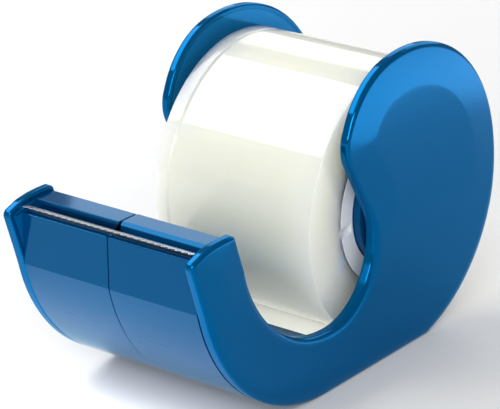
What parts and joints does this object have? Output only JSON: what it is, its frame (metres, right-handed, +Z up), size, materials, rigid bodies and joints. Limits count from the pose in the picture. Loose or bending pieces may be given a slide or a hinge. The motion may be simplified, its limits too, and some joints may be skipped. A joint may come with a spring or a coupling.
{
  "type": "hand tape dispenser",
  "caption": "Hand dispenser for wide packing tape: two rounded blue arms hold a clear roll on hubs, and a hollow head with a toothed steel blade joins them at the front.",
  "frame": {"origin": "on the table, below the middle of the dispenser's overall box", "axes": "+X along the roll's axis towards the sleeve half, -Y towards the cutting head, +Z up"},
  "size_m": [0.062, 0.1314, 0.083],
  "materials": {
    "arm_plastic": "high gloss",
    "cover_plastic": "high gloss",
    "head_plastic": "high gloss",
    "hub_plastic": "satin",
    "pin_plastic": "satin",
    "blade_steel": "bright, ground teeth",
    "core_plastic": "smooth",
    "tape_film": "clear film, wound milky"
  },
  "bodies": {
    "left_half": {"left_arm_shell": "arm_plastic", "left_arm_cover": "cover_plastic", "left_hub_pin": "pin_plastic", "left_head": "head_plastic", "blade": "blade_steel"},
    "right_half": {"right_arm_shell": "arm_plastic", "right_arm_cover": "cover_plastic", "right_hub_pin": "pin_plastic", "right_head": "head_plastic"},
    "left_hub": {"left_hub": "hub_plastic"},
    "right_hub": {"right_hub": "hub_plastic"},
    "roll": {"core": "core_plastic", "tape": "tape_film"}
  },
  "joints": [
    {"name": "halves_pull", "type": "slide", "parent": "left_half", "child": "right_half", "axis": [1, 0, 0], "range_m": [0, 0.05]},
    {"name": "roll_spin", "type": "hinge", "parent": "left_half", "child": "left_hub", "pos_m": [0, 0.0237, 0.041], "axis": [1, 0, 0], "continuous": true},
    {"name": "roll_off", "type": "slide", "parent": "left_hub", "child": "roll", "axis": [1, 0, 0], "range_m": [0, 0.025]},
    {"name": "right_hub_spin", "type": "hinge", "parent": "right_half", "child": "right_hub", "pos_m": [0, 0.0237, 0.041], "axis": [1, 0, 0], "continuous": true}
  ],
  "couplings": [
    {"joint": "roll_off", "follows": "halves_pull", "ratio": 0.5},
    {"joint": "right_hub_spin", "follows": "roll_spin", "ratio": 1}
  ]
}
